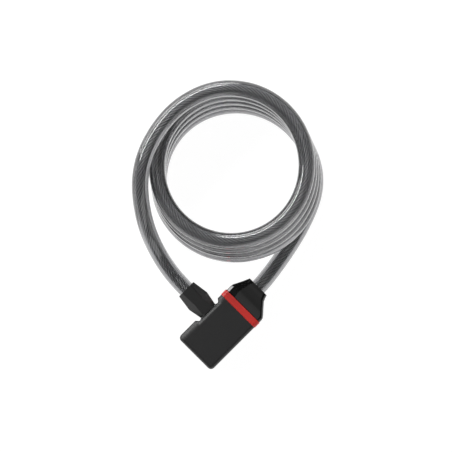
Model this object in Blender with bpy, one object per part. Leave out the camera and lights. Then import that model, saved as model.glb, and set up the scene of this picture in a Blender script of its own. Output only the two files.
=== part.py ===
"""Key-operated cable lock: a moulded head with a wafer lock inside, and one coiled cable.

The cable is fixed in the head's end cap and comes back to the head as a plug, whose steel
bolt goes into the side of the housing.  Turning the key cylinder a quarter turn lifts a
latch into a groove of that bolt.  All sizes are in millimetres until the last step.

+X runs along the head towards the end cap, +Y towards the plug, +Z up from the table.
The origin is the middle of the head's underside.
"""

import math

import bmesh
import bpy
import numpy as np

MM = 0.001
GAP = 0.3  # air between pieces that touch, or that run in one another
OVERSHOOT = 2.0  # how far a cutter runs past the face that it cuts through
ARC_POINTS = 5  # on each rounded corner or edge

# Head
HEAD_HEIGHT = 22.0
HOUSING_WIDTH = 33.5
HOUSING_CORNER_R = 3.1
HOUSING_EDGE_R = 2.8
WALL_SIDE = 3.2
WALL_FACE = 2.2
WALL_END = 3.2
RING_WIDTH = 4.6
RING_PROUD = 0.4
RING_ROOM_R = 0.6  # corners of the ring's opening
CAP_LENGTH = 17.6
CAP_EDGE_R = 6.0
NOSE_SIDE_STEP = 1.75  # the castings' nose is narrower than their body by this on each side
NOSE_FACE_STEP = 1.0
NOSE_PAST_RING = 4.0

# Key cylinder and what turns with it
CYLINDER_R = 5.5
CYLINDER_SUNK = 0.2
CYLINDER_FRONT = 2.2
CYLINDER_TAIL = 2.4
BEZEL_WALL = 0.7
WAFERS = 5
WAFER_PITCH = 2.8
WAFER_T = 1.5
WAFER_WIDTH = 5.4
WAFER_BELOW_CYLINDER = 0.9  # a wafer's ends lie this far inside the cylinder's round
WAFER_TRAVEL = 0.9
WAFER_CUTS = (0.5, -0.4, 0.2, 0.7, -0.2)  # how far each window sits above the middle
WINDOW_WIDTH = 3.0
WINDOW_HALF_HEIGHT = 2.9
LUG_REACH = 1.6
LUG_LOW = -1.4
LUG_HIGH = -0.1
SPRING_WIRE_R = 0.15
SPRING_COIL_R = 0.45
SPRING_LENGTH = 2.1
SPRING_TURNS = 4
KEYWAY_WIDTH = 2.4
KEYWAY_LOW = 4.2
KEYWAY_HIGH = 3.0
CLIP_T = 0.8
CLIP_RADIAL = 1.5
CLIP_LAND = 0.5
CLIP_OPEN_DEG = 50.0
CAM_R = 4.5
CAM_T = 1.1
CAM_PIN_R = 0.8
CAM_THROW = 1.2
TONGUE = (1.4, 2.0, 6.0)  # length into the cylinder, width, height

# Latch and bolt
LATCH_T = 1.8
LATCH_ARM_HALF = 4.0
LATCH_ARM_TOP = 2.9  # above the key axis
LATCH_BLADE_T = 2.4
LATCH_BLADE_HEIGHT = 2.6
LATCH_WEB = 2.0
BOLT_R = 4.0
BOLT_CORE_R = 2.3
BOLT_GROOVE = 3.2
BOLT_PAST_AXIS = 8.5
BOLT_CHAMFER = 1.2

# Plug on the free end of the cable
RECESS_DEPTH = 2.2
RECESS_FLOOR_HALF = 9.6  # along the head, to each side of the plug
RECESS_MOUTH_HALF = 11.5
PLUG_STANDOFF = 0.45  # between the recess floor and the grip
GRIP_LENGTH = 22.4
GRIP_WIDEST_AT = 10.3
GRIP_HALF_HEIGHT = 8.2
GRIP_SIDE_HALF = 3.6  # half height of the flats at the grip's sides
GRIP_FRONT = (7.1, 4.6)  # half width, and half width of the flat top
GRIP_WIDEST = (9.05, 3.6)
GRIP_BACK = (7.3, 4.2)
GRIP_PER_SIDE = 3  # points on each of the eight sides
GRIP_FRONT_WALL = 1.7
PLUG_FERRULE_LENGTH = 7.3
PLUG_FERRULE_R = 5.4
BOLT_IN_FERRULE = 3.5
SEAL_R = 6.0
SEAL_LENGTH = 2.7

# Screws and the fixed end of the cable
SCREW_R = 1.25
SCREW_HEAD_R = 2.2
SCREW_HEAD_T = 1.6
SCREW_INSET = 2.95
SCREW_WEB = 1.3
SCREW_FOOT = 2.0
SCREW_FROM_CASTING_END = 4.4
FERRULE_WEB = 1.6
FERRULE_FLANGE_R = 6.5
FERRULE_FLANGE_T = 3.0
FERRULE_R = 5.5
FERRULE_BORE_R = 4.2
FERRULE_BORE_DEPTH = 9.0
FERRULE_PAST_NOSE = 0.5
END_WEB = 1.5
EXIT_Y = 1.7

# Cable
CABLE_D = 12.0
CABLE_SIDES_RESOLUTION = 3
TUBE_STEP = 4.5
COIL_GAP = 0.5  # where a run of cable is cut off from the coil
COIL_CENTRE = (82.55, 78.91)
COIL_LEAN = (-1.455, -2.857)  # how far the middle moves over the table in one turn
COIL_R = (53.59, 53.94)  # along the coil's two axes, which lie at 45 degrees to the head
COIL_SPREAD = (0.572, 0.115)  # how much wider each turn is than the one above it
COIL_TURNED_DEG = -45.0
TURN_FIRST = 0.25
TURN_LAST = 4.50
RAMP_FROM = 0.60  # in each turn the cable climbs between these two, and is level elsewhere
RAMP_TO = 1.10
TURN_PITCH = 12.25
COIL_STATIONS = 36
STEP_TURN = 0.0006
LEFT_ROUTE = (  # from the plug up on to the coil
    (-4.5, 25.0, 11.0),
    (-4.5, 31.0, 11.0),
    (-4.5, 38.0, 11.0),
    (-4.1, 48.7, 11.8),
    (-2.7, 59.3, 14.0),
    (-0.4, 69.2, 17.9),
    (4.2, 82.7, 25.9),
    (10.3, 94.7, 35.3),
    (15.4, 102.3, 40.9),
    (23.6, 112.2, 47.4),
    (32.9, 120.3, 51.2),
    (43.5, 126.5, 53.1),
    (55.6, 130.9, 54.1),
    (69.6, 133.5, 54.8),
    (82.4, 133.7, 55.0),
    (94.8, 131.4, 55.05),
    (105.9, 127.1, 55.05),
    (113.8, 122.2, 55.05),
)
RIGHT_ROUTE = (  # from under the coil to the end cap
    (105.9, 19.1, 6.05),
    (94.3, 13.8, 6.05),
    (82.6, 9.9, 6.1),
    (72.5, 7.4, 6.5),
    (63.3, 5.5, 7.3),
    (52.8, 3.7, 8.7),
    (42.5, 2.3, 10.4),
    (33.4, 1.7, 11.0),
    (27.0, 1.7, 11.0),
    (20.3, 1.7, 11.0),
)

# Lengths along X, added up from the key end
BOLT_HOLE_R = BOLT_R + GAP
SCREW_HOLE_R = SCREW_R + GAP
CYLINDER_LENGTH = CYLINDER_FRONT + WAFERS * WAFER_PITCH + CYLINDER_TAIL
CYLINDER_TO_PLUG = (
    GAP + CAM_T + GAP + LATCH_T + GAP + LATCH_WEB + BOLT_HOLE_R
)
PLUG_TO_SCREW = BOLT_HOLE_R + SCREW_WEB + SCREW_HOLE_R - 0.15
SCREW_TO_POCKET = SCREW_HOLE_R - 0.15 + FERRULE_WEB
POCKET_LENGTH = GAP + FERRULE_FLANGE_T + GAP
HOUSING_LENGTH = (
    CYLINDER_SUNK + CYLINDER_LENGTH + CYLINDER_TO_PLUG
    + PLUG_TO_SCREW + SCREW_TO_POCKET + POCKET_LENGTH + END_WEB
)
HEAD_LENGTH = HOUSING_LENGTH + GAP + RING_WIDTH + GAP + CAP_LENGTH

KEY_END_X = -HEAD_LENGTH / 2
HOUSING_END_X = KEY_END_X + HOUSING_LENGTH
RING_X = HOUSING_END_X + GAP
CAP_X = RING_X + RING_WIDTH + GAP
CAP_END_X = CAP_X + CAP_LENGTH
CYLINDER_X = KEY_END_X + CYLINDER_SUNK
CYLINDER_END_X = CYLINDER_X + CYLINDER_LENGTH
CAM_X = CYLINDER_END_X + GAP
LATCH_X = CAM_X + CAM_T + GAP
PLUG_X = CYLINDER_END_X + CYLINDER_TO_PLUG
SCREW_X = PLUG_X + PLUG_TO_SCREW
POCKET_X = SCREW_X + SCREW_TO_POCKET

AXIS_Z = HEAD_HEIGHT / 2
CASTING_X = KEY_END_X + WALL_END + GAP
CASTING_HALF_WIDTH = HOUSING_WIDTH / 2 - WALL_SIDE - GAP
CASTING_LOW = WALL_FACE + GAP
CASTING_HIGH = HEAD_HEIGHT - WALL_FACE - GAP
NOSE_HALF_WIDTH = CASTING_HALF_WIDTH - NOSE_SIDE_STEP
NOSE_LOW = CASTING_LOW + NOSE_FACE_STEP
NOSE_HIGH = CASTING_HIGH - NOSE_FACE_STEP
NOSE_END_X = RING_X + RING_WIDTH + NOSE_PAST_RING
FERRULE_END_X = NOSE_END_X + FERRULE_PAST_NOSE

RECESS_FLOOR_Y = HOUSING_WIDTH / 2 - RECESS_DEPTH
GRIP_Y = RECESS_FLOOR_Y + PLUG_STANDOFF
PLUG_FERRULE_Y = GRIP_Y + GRIP_FRONT_WALL + GAP
CABLE_BORE_R = CABLE_D / 2 + GAP
LATCH_TOP_Z = AXIS_Z - BOLT_R - GAP
LATCH_TRAVEL = CAM_THROW * math.sqrt(2)
LATCH_FOOT_Z = LATCH_TOP_Z - LATCH_BLADE_HEIGHT
CAM_REST = math.radians(-45)
BORE_TURNED = math.radians(-22.5)  # so that a bore's points face the corners of the octagons
WAFER_HALF_HEIGHT = CYLINDER_R - WAFER_BELOW_CYLINDER
GROOVE_HALF = WAFER_WIDTH / 2 + 0.5
GROOVE_REACH = WAFER_HALF_HEIGHT + WAFER_TRAVEL + 3 * GAP
SPRING_Y = WAFER_WIDTH / 2 + 1.0
SPRING_POCKET_R = SPRING_COIL_R + SPRING_WIRE_R + GAP

FINISHES = {  # linear colour, metallic, roughness
    "housing_black": ((0.028, 0.028, 0.028), 0.0, 0.55),
    "cap_black": ((0.018, 0.018, 0.018), 0.0, 0.18),
    "ring_red": ((0.58, 0.035, 0.025), 0.0, 0.35),
    "grip_black": ((0.022, 0.022, 0.022), 0.0, 0.5),
    "zinc": ((0.42, 0.43, 0.44), 1.0, 0.5),
    "brass": ((0.70, 0.50, 0.20), 1.0, 0.3),
    "steel": ((0.55, 0.55, 0.56), 1.0, 0.25),
    "rubber": ((0.012, 0.012, 0.012), 0.0, 0.8),
    "cable_sheath": ((0.16, 0.16, 0.17), 0.0, 0.2),
}


# Scene, finishes and bodies

for left_over in list(bpy.data.objects):
    bpy.data.objects.remove(left_over)


def finish(name):
    """The material of one finish, made the first time that it is asked for."""
    if name in bpy.data.materials:
        return bpy.data.materials[name]
    colour, metallic, roughness = FINISHES[name]
    material = bpy.data.materials.new(name)
    material.use_nodes = True
    shader = material.node_tree.nodes["Principled BSDF"]
    shader.inputs["Base Color"].default_value = (*colour, 1)
    shader.inputs["Metallic"].default_value = metallic
    shader.inputs["Roughness"].default_value = roughness
    return material


def body(name, place):
    """An empty on a body's joint axis, which carries that body's pieces."""
    empty = bpy.data.objects.new(name, None)
    empty.location = np.array(place) * MM
    bpy.context.collection.objects.link(empty)
    return empty


def add(name, shape, look, carrier, origin=None):
    """An object of this shape, with its origin on its carrier's axis unless told otherwise."""
    points, faces = shape
    carried_at = np.array(carrier.location) / MM
    origin = carried_at if origin is None else np.array(origin)
    mesh = bpy.data.meshes.new(name)
    mesh.from_pydata(((np.array(points) - origin) * MM).tolist(), [], faces)
    shell = bmesh.new()
    shell.from_mesh(mesh)
    bmesh.ops.recalc_face_normals(shell, faces=shell.faces)
    shell.to_mesh(mesh)
    shell.free()
    mesh.shade_smooth()
    mesh.set_sharp_from_angle(angle=math.radians(35))
    mesh.materials.append(finish(look))
    made = bpy.data.objects.new(name, mesh)
    bpy.context.collection.objects.link(made)
    made.parent = carrier
    made.location = (origin - carried_at) * MM
    return made


def helper(name, shape):
    """A cutter or an added lump, which isn't a piece itself."""
    made = add(name, shape, "steel", head)
    made.hide_render = True
    made.display_type = "WIRE"
    return made


def shaped(piece, operation, *tools):
    for tool in tools:
        boolean = piece.modifiers.new(tool.name, "BOOLEAN")
        boolean.operation = operation
        boolean.solver = "EXACT"
        boolean.object = tool
    return piece


# Shapes

def skin(rings, ring_round=False):
    """Rings of equally many points joined side to side, with flat ends unless they run round."""
    size = len(rings[0])
    points = [point for ring in rings for point in ring]
    faces = []
    for i in range(len(rings) if ring_round else len(rings) - 1):
        here = i * size
        there = (i + 1) % len(rings) * size
        for j in range(size):
            k = (j + 1) % size
            faces.append((here + j, here + k, there + k, there + j))
    if not ring_round:
        faces.append(tuple(range(size)))
        faces.append(tuple(range(len(points) - size, len(points))))
    return points, faces


def box(low, high):
    (x0, y0, z0), (x1, y1, z1) = low, high
    corners = ((x0, y0), (x1, y0), (x1, y1), (x0, y1))
    return skin([[(x, y, z) for x, y in corners] for z in (z0, z1)])


def extruded_x(outline, x0, x1):
    """An outline of (y, z) points carried from x0 to x1."""
    return skin([[(x, y, z) for y, z in outline] for x in (x0, x1)])


def circle(axis, centre, along, radius, sides, first=0.0):
    """Points round an axis: centre holds the two coordinates across it, in X, Y, Z order."""
    points = []
    for i in range(sides):
        turn = first + 2 * math.pi * i / sides
        point = [centre[0] + radius * math.cos(turn), centre[1] + radius * math.sin(turn)]
        point.insert("XYZ".index(axis), along)
        points.append(tuple(point))
    return points


def turned(axis, centre, profile, sides=24, ring_round=False):
    """A profile of (along, radius) points turned round an axis."""
    return skin([circle(axis, centre, a, r, sides) for a, r in profile], ring_round)


def rounded_rectangle(low, high, radius, per_corner=ARC_POINTS):
    """Points round a rectangle whose corners are arcs."""
    points = []
    for quarter, (a, b) in enumerate(((1, 1), (0, 1), (0, 0), (1, 0))):
        centre_a = high[0] - radius if a else low[0] + radius
        centre_b = high[1] - radius if b else low[1] + radius
        for i in range(per_corner):
            turn = math.pi / 2 * (quarter + i / (per_corner - 1))
            points.append((centre_a + radius * math.cos(turn), centre_b + radius * math.sin(turn)))
    return points


# Bodies

head = body("head_frame", (0, 0, 0))
cylinder_axis = body("key_axis", (CYLINDER_X, 0, AXIS_Z))
latch_axis = body("latch_axis", (LATCH_X, 0, LATCH_TOP_Z))
plug_axis = body("plug_axis", (PLUG_X, 0, AXIS_Z))


# Housing, ring and cap

def housing_outline(inset, z):
    """The housing seen from above: round corners at the key end, square ones at the ring, and
    the recess for the plug in its +Y side."""
    half = HOUSING_WIDTH / 2 - inset
    floor = RECESS_FLOOR_Y - inset
    slope = math.atan2(RECESS_DEPTH, RECESS_MOUTH_HALF - RECESS_FLOOR_HALF)
    shift = inset * math.tan(slope / 2)
    x0 = KEY_END_X + inset
    radius = HOUSING_CORNER_R - inset
    points = [
        (HOUSING_END_X, -half, z), (HOUSING_END_X, half, z),
        (PLUG_X + RECESS_MOUTH_HALF + shift, half, z), (PLUG_X + RECESS_FLOOR_HALF + shift, floor, z),
        (PLUG_X - RECESS_FLOOR_HALF - shift, floor, z), (PLUG_X - RECESS_MOUTH_HALF - shift, half, z),
    ]
    for side, first in ((1, 90), (-1, 180)):
        for i in range(ARC_POINTS):
            turn = math.radians(first + 90 * i / (ARC_POINTS - 1))
            points.append((
                x0 + radius + radius * math.cos(turn),
                side * (half - radius) + radius * math.sin(turn),
                z,
            ))
    return points


def add_housing():
    quarter = [math.pi / 2 * i / (ARC_POINTS - 1) for i in range(ARC_POINTS)]
    rim = [(HOUSING_EDGE_R * (1 - math.sin(t)), HOUSING_EDGE_R * (1 - math.cos(t))) for t in quarter]
    layers = [housing_outline(inset, z) for inset, z in rim]
    layers += [housing_outline(inset, HEAD_HEIGHT - z) for inset, z in reversed(rim)]
    housing = add("outer_housing", skin(layers), "housing_black", head)
    half = HOUSING_WIDTH / 2 - WALL_SIDE
    hollow = helper("housing_hollow", box(
        (KEY_END_X + WALL_END, -half, WALL_FACE),
        (HOUSING_END_X + OVERSHOOT, half, HEAD_HEIGHT - WALL_FACE),
    ))
    plug_hole = helper("seal_hole", turned("Y", (PLUG_X, AXIS_Z), (
        (half - OVERSHOOT, SEAL_R + GAP), (RECESS_FLOOR_Y + OVERSHOOT, SEAL_R + GAP),
    )))
    bezel_r = CYLINDER_R + GAP + BEZEL_WALL + GAP
    key_hole = helper("key_hole", turned("X", (0, AXIS_Z), (
        (KEY_END_X - OVERSHOOT, bezel_r), (KEY_END_X + WALL_END + OVERSHOOT, bezel_r),
    )))
    shaped(housing, "DIFFERENCE", hollow, plug_hole, key_hole)


def add_ring():
    half = HOUSING_WIDTH / 2 + RING_PROUD
    outer = rounded_rectangle(
        (-half, 0), (half, HEAD_HEIGHT + RING_PROUD), HOUSING_EDGE_R + RING_PROUD)
    room = NOSE_HALF_WIDTH + GAP
    inner = rounded_rectangle((-room, NOSE_LOW - GAP), (room, NOSE_HIGH + GAP), RING_ROOM_R)
    sections = ((RING_X, inner), (RING_X, outer), (RING_X + RING_WIDTH, outer),
                (RING_X + RING_WIDTH, inner))
    rings = [[(x, y, z) for y, z in section] for x, section in sections]
    add("accent_ring", skin(rings, ring_round=True), "ring_red", head)


def add_cap():
    """The cap tapers to the cable unevenly: straight then bevelled at +Y, hollowed at -Y."""
    half = HOUSING_WIDTH / 2
    stations = (  # share of the length, -Y side, +Y side, rise of the underside, edge radius
        (0.00, -half, half - 0.4, 0.0, HOUSING_EDGE_R),
        (0.12, -half, half - 0.4, 0.0, HOUSING_EDGE_R + 1.2),
        (0.22, -half + 0.4, half - 0.4, 0.15, CAP_EDGE_R - 0.8),
        (0.33, -half + 1.9, half - 0.6, 0.5, CAP_EDGE_R),
        (0.53, -half + 5.1, half - 2.4, 1.3, CAP_EDGE_R),
        (0.74, -half + 8.3, half - 4.2, 2.0, CAP_EDGE_R),
        (0.88, -half + 9.4, half - 5.3, 2.3, CAP_EDGE_R),
        (1.00, -half + 10.0, half - 6.2, 2.5, CAP_EDGE_R),
    )
    rings = []
    for share, low_y, high_y, rise, radius in stations:
        x = CAP_X + share * CAP_LENGTH
        section = rounded_rectangle((low_y, rise), (high_y, HEAD_HEIGHT - rise), radius, 7)
        rings.append([(x, y, z) for y, z in section])
    cap = add("cable_end_cap", skin(rings), "cap_black", head)
    nose_room = helper("cap_nose_room", box(
        (CAP_X - OVERSHOOT, -NOSE_HALF_WIDTH - GAP, NOSE_LOW - GAP),
        (NOSE_END_X + GAP, NOSE_HALF_WIDTH + GAP, NOSE_HIGH + GAP),
    ))
    bore = helper("cap_bore", turned("X", (EXIT_Y, AXIS_Z), (
        (NOSE_END_X - OVERSHOOT, CABLE_BORE_R), (CAP_END_X + OVERSHOOT, CABLE_BORE_R),
    )))
    shaped(cap, "DIFFERENCE", nose_room, bore)


# Castings and their screws

def screw_places():
    y = CASTING_HALF_WIDTH - SCREW_INSET
    return [(x, side * y) for x in (CASTING_X + SCREW_FROM_CASTING_END, SCREW_X) for side in (-1, 1)]


def clip_groove():
    """Where the clip's groove starts and ends along X."""
    end = CYLINDER_END_X - CLIP_LAND
    return end - CLIP_T - 2 * GAP, end


def casting_cutters():
    """Every room that the two castings share, each one a cutter."""
    open_x = CASTING_X - OVERSHOOT
    bore_r = CYLINDER_R + GAP
    clip_r = CYLINDER_R - 1.0 + GAP + CLIP_RADIAL + GAP
    groove0, groove1 = clip_groove()
    first_wafer = CYLINDER_X + CYLINDER_FRONT
    last_wafer = first_wafer + WAFERS * WAFER_PITCH
    slot_floor = LATCH_FOOT_Z - GAP
    slot_top = AXIS_Z + LATCH_ARM_TOP + LATCH_TRAVEL + GAP
    latch_end = PLUG_X + BOLT_R
    plug_axis_at = (PLUG_X, AXIS_Z)
    open_y = CASTING_HALF_WIDTH + OVERSHOOT
    cable_at = (EXIT_Y, AXIS_Z)
    shapes = {
        "cylinder_room": turned("X", (0, AXIS_Z), (
            (open_x, bore_r), (groove0, bore_r), (groove0, clip_r), (groove1, clip_r),
            (groove1, bore_r), (CAM_X, bore_r), (CAM_X, CAM_R + GAP), (LATCH_X, CAM_R + GAP),
        ), 32),
        "wafer_groove_down": box(
            (first_wafer, -GROOVE_HALF, AXIS_Z - GROOVE_REACH), (last_wafer, GROOVE_HALF, AXIS_Z)),
        "wafer_groove_side": box(
            (first_wafer, 0, AXIS_Z - GROOVE_HALF), (last_wafer, GROOVE_REACH, AXIS_Z + GROOVE_HALF)),
        "latch_room": box(
            (LATCH_X - GAP, -LATCH_ARM_HALF - GAP, slot_floor),
            (LATCH_X + LATCH_T + GAP, LATCH_ARM_HALF + GAP, slot_top)),
        "blade_room": box(
            (LATCH_X, -LATCH_BLADE_T / 2 - GAP, slot_floor),
            (latch_end, LATCH_BLADE_T / 2 + GAP, AXIS_Z)),
        "bolt_room": turned("Y", plug_axis_at, (
            (-BOLT_PAST_AXIS - GAP, BOLT_HOLE_R), (open_y, BOLT_HOLE_R))),
        "seal_room": turned("Y", plug_axis_at, (
            (RECESS_FLOOR_Y + 0.15 - SEAL_LENGTH - GAP, SEAL_R + GAP), (open_y, SEAL_R + GAP))),
        "ferrule_room": turned("X", cable_at, (
            (POCKET_X, FERRULE_FLANGE_R + GAP), (POCKET_X + POCKET_LENGTH, FERRULE_FLANGE_R + GAP),
            (POCKET_X + POCKET_LENGTH, FERRULE_R + GAP), (NOSE_END_X + OVERSHOOT, FERRULE_R + GAP))),
    }
    for i, place in enumerate(screw_places()):
        foot = CASTING_LOW + SCREW_FOOT - GAP
        seat = CASTING_HIGH - GAP - SCREW_HEAD_T - GAP
        shapes[f"screw_room_{i + 1}"] = turned("Z", place, (
            (foot, SCREW_HOLE_R), (seat, SCREW_HOLE_R),
            (seat, SCREW_HEAD_R + GAP), (CASTING_HIGH + OVERSHOOT, SCREW_HEAD_R + GAP)), 16)
    return [helper(name, shape) for name, shape in shapes.items()]


def add_castings():
    cutters = casting_cutters()
    split = AXIS_Z
    levels = {
        "casting_lower": (CASTING_LOW, split - GAP / 2, NOSE_LOW, split - GAP / 2),
        "casting_upper": (split + GAP / 2, CASTING_HIGH, split + GAP / 2, NOSE_HIGH),
    }
    for name, (low, high, nose_low, nose_high) in levels.items():
        casting = add(name, box(
            (CASTING_X, -CASTING_HALF_WIDTH, low), (HOUSING_END_X, CASTING_HALF_WIDTH, high),
        ), "zinc", head)
        nose = helper(name + "_nose", box(
            (HOUSING_END_X - OVERSHOOT, -NOSE_HALF_WIDTH, nose_low),
            (NOSE_END_X, NOSE_HALF_WIDTH, nose_high),
        ))
        shaped(casting, "UNION", nose)
        shaped(casting, "DIFFERENCE", *cutters)


def add_screws():
    foot = CASTING_LOW + SCREW_FOOT
    top = CASTING_HIGH - GAP
    for i, place in enumerate(screw_places()):
        profile = (
            (foot, SCREW_R), (top - SCREW_HEAD_T, SCREW_R),
            (top - SCREW_HEAD_T, SCREW_HEAD_R), (top, SCREW_HEAD_R),
        )
        screw = add(f"casting_screw_{i + 1}", turned("Z", place, profile, 12), "steel", head,
                    (*place, top))
        x, y = place
        slot = helper(f"screw_slot_{i + 1}", box(
            (x - SCREW_HEAD_R - 1, y - 0.3, top - 0.8), (x + SCREW_HEAD_R + 1, y + 0.3, top + 1)))
        shaped(screw, "DIFFERENCE", slot)


# Key cylinder, wafers and springs

def wafer_middle(i):
    return CYLINDER_X + CYLINDER_FRONT + (i + 0.5) * WAFER_PITCH


def add_cylinder():
    groove0, groove1 = clip_groove()
    groove_r = CYLINDER_R - 1.0
    cylinder = add("key_cylinder", turned("X", (0, AXIS_Z), (
        (CYLINDER_X, CYLINDER_R - 0.3), (CYLINDER_X + 0.3, CYLINDER_R),
        (groove0, CYLINDER_R), (groove0, groove_r), (groove1, groove_r),
        (groove1, CYLINDER_R), (CYLINDER_END_X, CYLINDER_R),
    ), 32), "brass", cylinder_axis)
    wafers_end = CYLINDER_X + CYLINDER_FRONT + WAFERS * WAFER_PITCH
    keyway = helper("keyway", box(
        (CYLINDER_X - OVERSHOOT, -KEYWAY_WIDTH / 2, AXIS_Z - KEYWAY_LOW),
        (wafers_end, KEYWAY_WIDTH / 2, AXIS_Z + KEYWAY_HIGH)))
    depth, width, height = TONGUE
    tongue_slot = helper("tongue_slot", box(
        (CYLINDER_END_X - depth - GAP, -width / 2 - GAP, AXIS_Z - height / 2 - GAP),
        (CYLINDER_END_X + OVERSHOOT, width / 2 + GAP, AXIS_Z + height / 2 + GAP)))
    shaped(cylinder, "DIFFERENCE", keyway, tongue_slot)
    for i in range(WAFERS):
        x0 = wafer_middle(i) - WAFER_T / 2 - GAP
        x1 = wafer_middle(i) + WAFER_T / 2 + GAP
        lug_room = WAFER_WIDTH / 2 + LUG_REACH + GAP
        slot = helper(f"wafer_slot_{i + 1}", box(
            (x0, -WAFER_WIDTH / 2 - GAP, AXIS_Z - CYLINDER_R - OVERSHOOT),
            (x1, WAFER_WIDTH / 2 + GAP, AXIS_Z + CYLINDER_R + OVERSHOOT)))
        lug_slot = helper(f"lug_slot_{i + 1}", box(
            (x0, 0, AXIS_Z + LUG_LOW - WAFER_TRAVEL - GAP), (x1, lug_room, AXIS_Z + LUG_HIGH + GAP)))
        pocket = helper(f"spring_pocket_{i + 1}", turned("Z", (wafer_middle(i), SPRING_Y), (
            (AXIS_Z + LUG_HIGH - 0.5, SPRING_POCKET_R),
            (AXIS_Z + LUG_HIGH + GAP + SPRING_LENGTH + GAP, SPRING_POCKET_R)), 12))
        shaped(cylinder, "DIFFERENCE", slot, lug_slot, pocket)


def add_wafers():
    half = WAFER_WIDTH / 2
    outline = [(y, AXIS_Z + z) for y, z in (
        (-half, -WAFER_HALF_HEIGHT), (half, -WAFER_HALF_HEIGHT), (half, LUG_LOW),
        (half + LUG_REACH, LUG_LOW), (half + LUG_REACH, LUG_HIGH), (half, LUG_HIGH),
        (half, WAFER_HALF_HEIGHT), (-half, WAFER_HALF_HEIGHT),
    )]
    for i in range(WAFERS):
        x = wafer_middle(i)
        axis = body(f"wafer_axis_{i + 1}", (x, 0, AXIS_Z))
        wafer = add(f"wafer_{i + 1}", extruded_x(outline, x - WAFER_T / 2, x + WAFER_T / 2),
                    "brass", axis)
        window = helper(f"wafer_window_{i + 1}", box(
            (x - WAFER_PITCH, -WINDOW_WIDTH / 2, AXIS_Z + WAFER_CUTS[i] - WINDOW_HALF_HEIGHT),
            (x + WAFER_PITCH, WINDOW_WIDTH / 2, AXIS_Z + WAFER_CUTS[i] + WINDOW_HALF_HEIGHT)))
        shaped(wafer, "DIFFERENCE", window)


def add_springs():
    """Each spring is a helix of round wire between its wafer's lug and the top of its pocket."""
    steps = SPRING_TURNS * 8
    low = AXIS_Z + LUG_HIGH + GAP + SPRING_WIRE_R
    rise = SPRING_LENGTH - 2 * SPRING_WIRE_R
    for number in range(WAFERS):
        rings = []
        for i in range(steps + 1):
            turn = 2 * math.pi * i / 8
            out = np.array((math.cos(turn), math.sin(turn), 0))
            centre = np.array((wafer_middle(number), SPRING_Y, low + rise * i / steps))
            centre = centre + SPRING_COIL_R * out
            ring = []
            for j in range(4):
                angle = 2 * math.pi * (j + 0.5) / 4
                ring.append(tuple(
                    centre + SPRING_WIRE_R * (math.cos(angle) * out
                                              + math.sin(angle) * np.array((0, 0, 1)))))
            rings.append(ring)
        add(f"wafer_spring_{number + 1}", skin(rings), "steel", cylinder_axis)


def add_bezel():
    inner = CYLINDER_R + GAP
    outer = inner + BEZEL_WALL
    end = KEY_END_X + WALL_END - GAP
    add("keyhole_bezel", turned("X", (0, AXIS_Z), (
        (KEY_END_X + 0.1, inner), (KEY_END_X + 0.1, outer), (end, outer), (end, inner),
    ), 32, ring_round=True), "steel", head)


def add_clip():
    """An open ring in the cylinder's groove, which keeps the cylinder from coming out."""
    groove0, _ = clip_groove()
    x0 = groove0 + GAP
    inner = CYLINDER_R - 1.0 + GAP
    outer = inner + CLIP_RADIAL
    steps = 18
    rings = []
    for i in range(steps + 1):
        turn = math.radians(CLIP_OPEN_DEG / 2 + (360 - CLIP_OPEN_DEG) * i / steps)
        across = math.cos(turn)
        up = math.sin(turn)
        rings.append([
            (x, radius * across, AXIS_Z + radius * up)
            for x, radius in ((x0, inner), (x0, outer), (x0 + CLIP_T, outer), (x0 + CLIP_T, inner))
        ])
    add("cylinder_clip", skin(rings), "steel", cylinder_axis)


def add_cam():
    """A disc keyed into the cylinder's end, with an eccentric pin that works the latch."""
    cam = add("drive_cam", turned("X", (0, AXIS_Z), ((CAM_X, CAM_R), (CAM_X + CAM_T, CAM_R))),
              "steel", cylinder_axis)
    depth, width, height = TONGUE
    tongue = helper("cam_tongue", box(
        (CYLINDER_END_X - depth, -width / 2, AXIS_Z - height / 2),
        (CAM_X + CAM_T / 2, width / 2, AXIS_Z + height / 2)))
    pin_at = (CAM_THROW * math.cos(CAM_REST), AXIS_Z + CAM_THROW * math.sin(CAM_REST))
    pin = helper("cam_pin", turned("X", pin_at, (
        (CAM_X + CAM_T / 2, CAM_PIN_R), (LATCH_X + LATCH_T, CAM_PIN_R)), 12))
    shaped(cam, "UNION", tongue, pin)


def add_latch():
    """An upright arm that the cam's pin lifts, and a blade that rises into the bolt's groove."""
    latch = add("latch", box(
        (LATCH_X, -LATCH_ARM_HALF, LATCH_FOOT_Z),
        (LATCH_X + LATCH_T, LATCH_ARM_HALF, AXIS_Z + LATCH_ARM_TOP),
    ), "steel", latch_axis)
    blade = helper("latch_blade", box(
        (LATCH_X + LATCH_T / 2, -LATCH_BLADE_T / 2, LATCH_FOOT_Z),
        (PLUG_X + BOLT_R - GAP, LATCH_BLADE_T / 2, LATCH_TOP_Z)))
    pin_z = AXIS_Z + CAM_THROW * math.sin(CAM_REST)
    reach = CAM_PIN_R + GAP
    pin_slot = helper("latch_pin_slot", box(
        (LATCH_X - OVERSHOOT, CAM_THROW * math.cos(CAM_REST) - reach, pin_z - reach),
        (LATCH_X + LATCH_T + OVERSHOOT, CAM_THROW + reach, pin_z + reach)))
    shaped(latch, "UNION", blade)
    shaped(latch, "DIFFERENCE", pin_slot)


# Plug

def add_bolt():
    back = PLUG_FERRULE_Y + BOLT_IN_FERRULE
    half = BOLT_GROOVE / 2
    add("locking_bolt", turned("Y", (PLUG_X, AXIS_Z), (
        (-BOLT_PAST_AXIS, BOLT_R - BOLT_CHAMFER), (-BOLT_PAST_AXIS + BOLT_CHAMFER, BOLT_R),
        (-half, BOLT_R), (-half, BOLT_CORE_R), (half, BOLT_CORE_R), (half, BOLT_R), (back, BOLT_R),
    )), "steel", plug_axis)


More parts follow.
